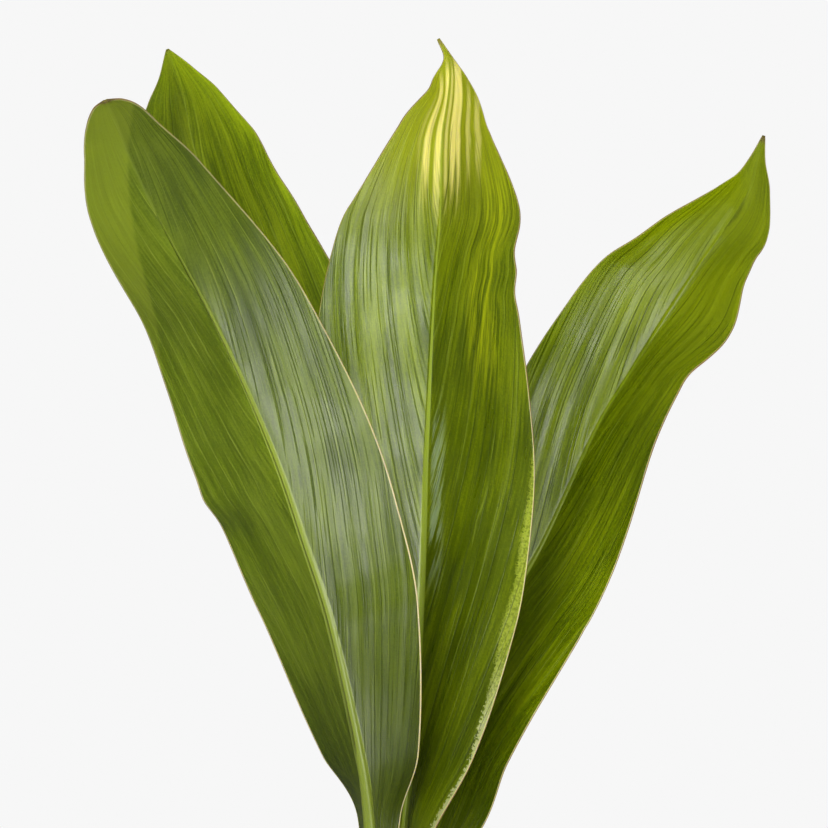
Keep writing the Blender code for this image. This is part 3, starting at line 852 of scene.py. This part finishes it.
def barkMaterial():
    # cane: a soft woody stem whose skin is a thin grey-brown cork, ringed by the scars of fallen
    # leaves, with cracks 1 mm across and 6 mm long
    material, add, spot = newMaterial("corkyCaneBark")
    height = add("SeparateXYZ", {}, [spot]).outputs["Z"]
    stretched = add("Mapping", {}, {"Vector": spot, "Scale": (1.0, 1.0, 0.16)})
    cracks = add("TexNoise", {}, {"Vector": stretched, "Scale": 900.0, "Detail": 4.0, "Roughness": 0.6})
    blotches = add("TexNoise", {}, {"Vector": spot, "Scale": 120.0, "Detail": 3.0})
    patchy = add("MapRange", {}, [blotches, 0.4, 0.65, 0.0, 0.6])
    young = add("MapRange", smoothStep, [height, 0.2, 0.262])  # the young top is still green
    scar = add("Attribute", {"attribute_name": "scar"}, {}).outputs["Fac"]
    base = "443722"
    for share, colour in ((cracks, "998863"), (patchy, "8d8a72"), (young, "83923c"), (scar, "5a4427")):
        base = add("Mix", inColour, {0: share, 6: base, 7: colour})
    return coated(material, add, cracks, 0.8, 0.6, {"Base Color": base, "Roughness": 0.78, "IOR": 1.45})


def buildCaneTree():
    tree, add, given = newGeometryTree("ringedCane", {
        "Sides": 56, "Rings": 420, "Scar Pitch": 0.006, "Scar Height": 0.0006, "Scars From": 0.14,
        "Scars To": 0.2, "Cork Roughness": 0.0004, "Finish": None,
    })
    rings = add("GeometryNodeResampleCurve", {}, {"Curve": given["Geometry"], "Count": given["Rings"]})
    circle = add("GeometryNodeCurvePrimitiveCircle", {}, {"Resolution": given["Sides"], "Radius": 1.0})
    radius = add("GeometryNodeInputRadius", {}, {})
    tube = add("GeometryNodeCurveToMesh", {},
               {"Curve": rings, "Profile Curve": circle, "Scale": radius, "Fill Caps": True})
    spot = add("GeometryNodeInputPosition", {}, {})
    up = add("SeparateXYZ", {}, [spot]).outputs["Z"]
    tilt = add("TexNoise", {}, {"Vector": spot, "Scale": 45.0, "Detail": 1.0})
    tilt = add("Math", times, [tilt, 0.003])
    height = add("Math", plus, [up, tilt])
    turns = add("Math", {"operation": "DIVIDE"}, [height, given["Scar Pitch"]])
    part = add("Math", {"operation": "FRACT"}, [turns])
    # each ring is a lip: a slow rise from below and a sharp edge on top
    lip = add("MapRange", {"interpolation_type": "SMOOTHERSTEP"}, [part, 0.45, 0.86])
    above = add("MapRange", smoothStep, [up, given["Scars From"], 0.146])
    below = add("MapRange", smoothStep, [up, 0.196, given["Scars To"], 1.0, 0.0])
    ring = faded(add, lip, (part, 0.9, 1.0, 1.0, 0.0), above, below, given["Scar Height"])
    cork = add("TexNoise", {}, {"Vector": spot, "Scale": 260.0, "Detail": 3.0})
    cork = add("Math", times, [add("Math", minus, [cork, 0.6]), below])
    relief = add("Math", timesPlus, [cork, given["Cork Roughness"], ring])
    shaped = pushOut(add, tube, relief)
    # a dark line marks each scar, and goes on faintly above, where the stalks clasp the cane
    dark = add("MapRange", {}, [part, 0.86, 0.95, 0.0, 0.8])
    dark = faded(add, dark, add("MapRange", {}, [up, 0.196, 0.204, 1.0, 0.55]), above)
    marked = add("GeometryNodeStoreNamedAttribute", {"data_type": "FLOAT", "domain": "POINT"},
                 {"Geometry": shaped, "Name": "scar", "Value": dark})
    closeTree(add, add("GeometryNodeSetShadeSmooth", {}, {"Geometry": marked}), given["Finish"])
    return tree


def buildCane():
    leaning = {caneForm["leanFrom"] + k * caneForm["leanStep"] for k in range(11)}
    heights = sorted(leaning | {height for height, _ in caneForm["radii"]})
    path = bpy.data.curves.new("cane", "CURVE")
    path.dimensions = "3D"
    line = path.splines.new("POLY")
    line.points.add(len(heights) - 1)
    for point, height in zip(line.points, heights):
        centre = caneCentre(height)
        point.co = (centre.x * mm, centre.y * mm, height * mm, 1)
        point.radius = caneRadius(height) * mm
    piece = newPiece("cane", path)
    useTree(piece, buildCaneTree(), {
        "Sides": caneForm["sides"],
        "Scar Pitch": caneForm["scarPitch"] * mm,
        "Scar Height": caneForm["scarHigh"] * mm,
        "Scars From": caneForm["scarFrom"] * mm,
        "Scars To": caneForm["scarTo"] * mm,
        "Finish": barkMaterial(),
    })
    piece = settle(piece)
    work = bmesh.new()
    work.from_mesh(piece.data)
    bmesh.ops.remove_doubles(work, verts=work.verts[:], dist=0.005 * mm)
    bmesh.ops.recalc_face_normals(work, faces=work.faces[:])
    work.to_mesh(piece.data)
    work.free()
    place(piece, ["stem"])
    print("cane faces", len(piece.data.polygons))


buildCane()

# Pot: earthenware, turned or pressed and fired without a glaze, so it is dry, open-grained and
# matte, with faint turning rings and a pale bloom of lime where water dries
potForm = {
    "high": 150,
    "rimRadius": 81,
    "bandHigh": 28,
    "bandStep": 5,
    "footRadius": 57,
    "wall": 6,
    "floor": 9,
    "sides": 144,
    "softness": (1.8, 1.2, 2.2, 2.2, 2.2, 5.0),  # radii of the outline's corners
    "pieceLong": 8,
    "drains": 3,
    "drainRadius": 4.5,
    "drainCircle": 30,
}


def clayMaterial():
    material, add, spot = newMaterial("firedClay")
    height = add("SeparateXYZ", {}, [spot]).outputs["Z"]
    cloud = add("TexNoise", {}, {"Vector": spot, "Scale": 22.0, "Detail": 4.0})
    speck = add("TexNoise", {}, {"Vector": spot, "Scale": 1400.0, "Detail": 2.0})
    grain = add("MapRange", {}, [speck, 0.35, 0.65, 0.0, 0.35])
    # lime bloom, most of it near the foot
    bloom = add("TexNoise", {}, {"Vector": spot, "Scale": 38.0, "Detail": 6.0, "Roughness": 0.65})
    low = add("MapRange", {}, [height, 0.0, 0.06, 0.17, 0.0])
    bloom = add("Math", plus, [bloom, low])
    bloom = add("MapRange", smoothStep, [bloom, 0.55, 0.85, 0.0, 0.38])
    base = "9a5034"
    for share, colour in ((cloud, "b8724d"), (grain, "c98e69"), (bloom, "dcc3b0")):
        base = add("Mix", inColour, {0: share, 6: base, 7: colour})
    # turning rings about 1.5 mm apart
    rings = add("TexWave", {"wave_type": "BANDS", "bands_direction": "Z"},
                {"Vector": spot, "Scale": 210.0, "Distortion": 1.2, "Detail": 2.0, "Detail Scale": 1.5})
    relief = add("Math", timesPlus, [speck, 0.7, rings])
    return coated(material, add, relief, 0.35, 0.3,
                  {"Base Color": base, "Roughness": 0.88, "IOR": 1.5, "Specular IOR Level": 0.3})


def innerRadius(height):
    foot = potForm["footRadius"] - potForm["wall"]
    top = potForm["rimRadius"] - potForm["wall"]
    return mix(foot, top, (height - potForm["floor"]) / (potForm["high"] - potForm["floor"]))


def roundCorner(points, k, radius, steps=5):
    # the corner at points[k] as a short curve
    before, corner, after = (Vector(point) for point in points[k - 1:k + 2])
    a, b = (
        corner + (other - corner).normalized() * min(radius, (other - corner).length * 0.45)
        for other in (before, after)
    )
    shares = [n / steps for n in range(steps + 1)]
    return [a * (1 - t) ** 2 + corner * 2 * t * (1 - t) + b * t**2 for t in shares]


def turned(name, outline, sides, material, surface=None):
    # outline: (radius, height) in mm from the axis round to the axis, where it is closed. A height
    # of None is read from the surface
    work = bmesh.new()
    rings = []
    for radius, height in outline:
        ring = []
        for k in range(sides if radius > 1e-6 else 1):
            turn = 2 * math.pi * k / sides
            x, y = radius * math.cos(turn), radius * math.sin(turn)
            ring.append(work.verts.new((x * mm, y * mm, (surface(x, y) if height is None else height) * mm)))
        rings.append(ring)
    for a, b in zip(rings, rings[1:]):
        for k in range(sides):
            corners = [a[k % len(a)], a[(k + 1) % len(a)], b[(k + 1) % len(b)], b[k % len(b)]]
            work.faces.new(list(dict.fromkeys(corners)))
    bmesh.ops.recalc_face_normals(work, faces=work.faces[:])
    mesh = bpy.data.meshes.new(name)
    work.to_mesh(mesh)
    work.free()
    mesh.shade_smooth()
    return newPiece(name, mesh, material)


def buildPot():
    p = potForm
    bandFoot = p["high"] - p["bandHigh"]
    corners = [
        (0, 0), (p["footRadius"], 0), (p["rimRadius"] - p["bandStep"], bandFoot), (p["rimRadius"], bandFoot),
        (p["rimRadius"], p["high"]), (p["rimRadius"] - p["wall"], p["high"]),
        (innerRadius(p["floor"]), p["floor"]), (0, p["floor"]),
    ]
    outline = [Vector(corners[0])]
    for k, softness in enumerate(p["softness"], 1):
        for point in roundCorner(corners, k, softness):
            start = outline[-1].copy()
            pieces = max(1, int((point - start).length / p["pieceLong"]))
            outline += [start.lerp(point, n / pieces) for n in range(1, pieces + 1)]
    outline.append(Vector(corners[-1]))
    pot = turned("clayPot", outline, p["sides"], clayMaterial())
    cutters = []
    for k in range(p["drains"]):
        turn = 2 * math.pi * (k + 0.25) / p["drains"]
        bpy.ops.mesh.primitive_cylinder_add(
            vertices=40, radius=p["drainRadius"] * mm, depth=3 * p["floor"] * mm,
            location=(p["drainCircle"] * mm * math.cos(turn), p["drainCircle"] * mm * math.sin(turn), 0),
        )
        cutters.append(bpy.context.object)
        cut = pot.modifiers.new("drain", "BOOLEAN")
        cut.object = cutters[-1]
        cut.solver = "EXACT"
    pot = settle(pot)
    bpy.data.batch_remove(cutters)
    pot.data.set_sharp_from_angle(angle=math.radians(50))
    place(pot, ["pot"])
    print("pot faces", len(pot.data.polygons))


buildPot()

# Soil: potting mix of peat, composted bark and white perlite, settled and dry on top
soilForm = {
    "edge": 133,
    "edgeLow": 4,  # the outline's edge lies this much lower
    "dome": 4,
    "bump": 1.3,
    "grit": ((4.0, 3.1, 0.9), (1.7, 8.2, 0.5)),  # size, seed and height of the finest unevenness
    "settled": 0.6,
    "holeRadius": 8.8,
    "gap": 0.3,
    "footCut": 3,  # the corner at the pot's floor is cut off
    "sides": 180,
    "rings": 40,
    "clearWall": 2.6,  # no loose grain nearer than this to the pot's wall
    "clearCane": 2.2,
}


def soilMaterial(name, dark, light, roughness):
    material, add, spot = newMaterial(name)
    coarse = add("TexNoise", {}, {"Vector": spot, "Scale": 160.0, "Detail": 5.0})
    fine = add("TexNoise", {}, {"Vector": spot, "Scale": 1600.0, "Detail": 3.0})
    share = add("Math", timesPlus, [fine, 0.5, coarse])
    share = add("MapRange", {}, [share, 0.5, 1.0])
    base = add("Mix", inColour, {0: share, 6: dark, 7: light})
    return coated(material, add, fine, 0.8, 0.6,
                  {"Base Color": base, "Roughness": roughness, "IOR": 1.4, "Specular IOR Level": 0.25})


peat = soilMaterial("dampPeat", "1d130b", "4a3524", 0.95)
looseGrains = {
    "soilCrumbs": (peat, {"Density": 240000.0, "Smallest": 0.0009, "Largest": 0.0034, "Seed": 3}),
    "barkChips": (soilMaterial("compostedBark", "3a2413", "7a5433", 0.85), {
        "Density": 16000.0, "Smallest": 0.002, "Largest": 0.0052, "Flatness": 0.35, "Length": 2.0,
        "Sink": 0.0001, "Seed": 11}),
    "perliteGrains": (soilMaterial("expandedPerlite", "c9c4ba", "f1eee8", 0.9), {
        "Density": 5200.0, "Smallest": 0.0009, "Largest": 0.0034, "Flatness": 0.85, "Sink": 0.0002,
        "Seed": 29}),
}


def soilHeight(x, y):
    dome = soilForm["dome"] * smooth(1 - math.hypot(x, y) / innerRadius(soilForm["edge"]))
    bumps = math.sin(x / 9.0 + 1.3) * math.cos(y / 11.0) + 0.6 * math.sin((x + y) / 6.5 + 0.4)
    grit = sum(noise.noise(Vector((x / size, y / size, key))) * high for size, key, high in soilForm["grit"])
    return soilForm["edge"] + dome + soilForm["bump"] * bumps + grit - soilForm["settled"]


def buildScatterTree():
    # grains on the open top of the soil, clear of the pot's wall and of the cane
    tree, add, given = newGeometryTree("scatterOnSoil", {
        "Density": 1000.0, "Smallest": 0.001, "Largest": 0.003, "Flatness": 0.7, "Length": 1.2,
        "Sink": 0.0005, "Seed": 1, "Finish": None,
    })
    upward = add("SeparateXYZ", {}, [add("GeometryNodeInputNormal", {}, {})]).outputs["Z"]
    flat = add("VectorMath", times, [add("GeometryNodeInputPosition", {}, {}), (1.0, 1.0, 0.0)])
    away = add("VectorMath", {"operation": "LENGTH"}, [flat]).outputs["Value"]
    chosen = True
    for source, operation, limit in (
        (upward, "GREATER_THAN", 0.5),
        (away, "LESS_THAN", (innerRadius(soilForm["edge"]) - soilForm["clearWall"]) * mm),
        (away, "GREATER_THAN", (soilForm["holeRadius"] + soilForm["clearCane"]) * mm),
    ):
        fits = add("FunctionNodeCompare", {"data_type": "FLOAT", "operation": operation}, [source, limit])
        chosen = add("FunctionNodeBooleanMath", {"operation": "AND"}, [chosen, fits])
    points = add("GeometryNodeDistributePointsOnFaces", {"distribute_method": "RANDOM"}, {
        "Mesh": given["Geometry"], "Selection": chosen, "Density": given["Density"], "Seed": given["Seed"],
    })
    grain = add("GeometryNodeMeshIcoSphere", {}, {"Radius": 0.5, "Subdivisions": 1})
    spin, shape, size = (
        add("FunctionNodeRandomValue", {"data_type": kind}, {k: low, k + 1: high, "Seed": given["Seed"]})
        for kind, k, low, high in (
            ("FLOAT_VECTOR", 0, (-0.35, -0.35, 0.0), (0.35, 0.35, 6.283)),
            ("FLOAT_VECTOR", 0, (0.8, 0.6, 0.8), (1.2, 1.0, 1.0)),
            ("FLOAT", 2, given["Smallest"], given["Largest"]),
        )
    )
    aspect = add("CombineXYZ", {}, [given["Length"], 1.0, given["Flatness"]])
    form = add("VectorMath", times, [shape, aspect])
    scale = add("VectorMath", {"operation": "SCALE"}, {0: form, "Scale": size.outputs[1]})
    put = add("GeometryNodeInstanceOnPoints", {},
              {"Points": points, "Instance": grain, "Rotation": spin, "Scale": scale})
    down = add("CombineXYZ", {}, {2: add("Math", times, [given["Sink"], -1.0])})
    lowered = add("GeometryNodeTranslateInstances", {},
                  {"Instances": put, "Translation": down, "Local Space": False})
    closeTree(add, lowered, given["Finish"])
    return tree


def buildSoil():
    s = soilForm
    outer = innerRadius(s["edge"] - s["edgeLow"]) - s["gap"]
    floor = potForm["floor"] + s["gap"]
    hole = caneForm["foot"] - s["gap"]
    outline = [
        (0, floor), (innerRadius(floor) - s["footCut"], floor),
        (innerRadius(floor + s["footCut"]) - 1, floor + s["footCut"]), (outer, s["edge"] - s["edgeLow"]),
    ]
    outline += [(mix(outer - 0.5, s["holeRadius"], k / s["rings"]), None) for k in range(s["rings"] + 1)]
    outline += [(s["holeRadius"], hole), (0, hole)]
    soil = turned("pottingSoil", outline, s["sides"], peat, soilHeight)
    scatterTree = buildScatterTree()
    for name, (material, values) in looseGrains.items():
        grains = newPiece(name, soil.data.copy(), material)
        useTree(grains, scatterTree, values | {"Finish": material})
        grains = settle(grains)
        place(grains, [])
        print(name, "faces", len(grains.data.polygons))
    place(soil, ["soil"])


buildSoil()

# Studio: a pale floor in a pale surround. Two soft panels at the right give the leaves their sheen:
# a low one for the front leaf and one at leaf height. A large soft light from the upper left front
# is matt, as if polarised, and one behind shines through the leaves
studio = {
    "floorRadius": 2.5,
    "floorDrop": 0.0003,
    "surround": "f7f7f7",
    "roomLight": 0.4,
    "roomSheen": 0.1,
    "lights": {
        # spot and aim in metres, watts, width and height in metres, seen in the sheen
        "low": ((0.6, -0.67, 0.215), (-0.05, -0.05, 0.5), 3.4, 0.52, 0.26, True),
        "side": ((0.58, -1.4, 0.7), (0.05, 0.05, 0.6), 8.6, 0.6, 0.5, True),
        "fill": ((-0.9, -2.1, 2.1), (0, 0, 0.5), 66.0, 1.3, 1.3, False),
        "back": ((0.0, 2.2, 1.2), (0, 0, 0.5), 35.0, 2.4, 2.2, True),
    },
}


def floorMaterial():
    # painted board, rolled matt: an even pale grey with the faintest clouds
    material, add, spot = newMaterial("paintedBoardFloor")
    cloud = add("TexNoise", {}, {"Vector": spot, "Scale": 3.0, "Detail": 2.0})
    base = add("Mix", inColour, {0: cloud, 6: "dcdcda", 7: "e2e2e0"})
    skin = add("BsdfPrincipled", {}, {"Base Color": base, "Roughness": 0.85})
    add("OutputMaterial", {}, {"Surface": skin})
    return material


def softLight(name, spot, aim, power, wide, high, inSheen):
    data = bpy.data.lights.new(name, "AREA")
    data.shape = "RECTANGLE"
    data.energy = power
    data.size = wide
    data.size_y = high
    lamp = newPiece(name, data)
    lamp.location = spot
    lamp.rotation_euler = (Vector(aim) - Vector(spot)).to_track_quat("-Z", "Y").to_euler()
    lamp.visible_camera = False
    lamp.visible_glossy = inSheen


def buildStudio():
    scene = bpy.context.scene
    scene.view_settings.view_transform = "Standard"
    work = bmesh.new()
    bmesh.ops.create_circle(work, cap_ends=True, segments=128, radius=studio["floorRadius"])
    bmesh.ops.translate(work, verts=work.verts[:], vec=(0, 0, -studio["floorDrop"]))
    mesh = bpy.data.meshes.new("studioFloor")
    work.to_mesh(mesh)
    work.free()
    floor = newPiece("studioFloor", mesh, floorMaterial())
    floor.visible_glossy = False  # else its white fills the leaves' undersides with a false sheen
    world = bpy.data.worlds.new("paleSurround")
    world.use_nodes = True
    world.node_tree.nodes.clear()
    add = functools.partial(addNode, world.node_tree)
    seen, lit, mirrored = (
        add("Background", {}, {"Color": studio["surround"], "Strength": strength})
        for strength in (1.0, studio["roomLight"], studio["roomSheen"])
    )
    path = add("LightPath", {}, {}).outputs
    room = add("MixShader", {}, [path["Is Glossy Ray"], lit, mirrored])
    both = add("MixShader", {}, [path["Is Camera Ray"], room, seen])
    add("OutputWorld", {}, {"Surface": both})
    scene.world = world
    for name, choice in studio["lights"].items():
        softLight(name + "Softbox", *choice)


# Camera: level, a little over the middle of the leaves, as the photograph was taken
photoView = {
    "spot": (0.005, -1.794, 0.545),
    "widthAtPlant": 0.43056,  # metres across the picture, at the distance below
    "distance": 1.790,
    "sensor": 36.0,
}


def buildCamera():
    data = bpy.data.cameras.new("photoCamera")
    data.sensor_width = photoView["sensor"]
    data.lens = photoView["sensor"] * photoView["distance"] / photoView["widthAtPlant"]
    camera = newPiece("photoCamera", data)
    camera.location = photoView["spot"]
    camera.rotation_euler = (math.radians(90), 0, 0)
    bpy.context.scene.camera = camera


buildStudio()
buildCamera()
print("studio and camera ready")
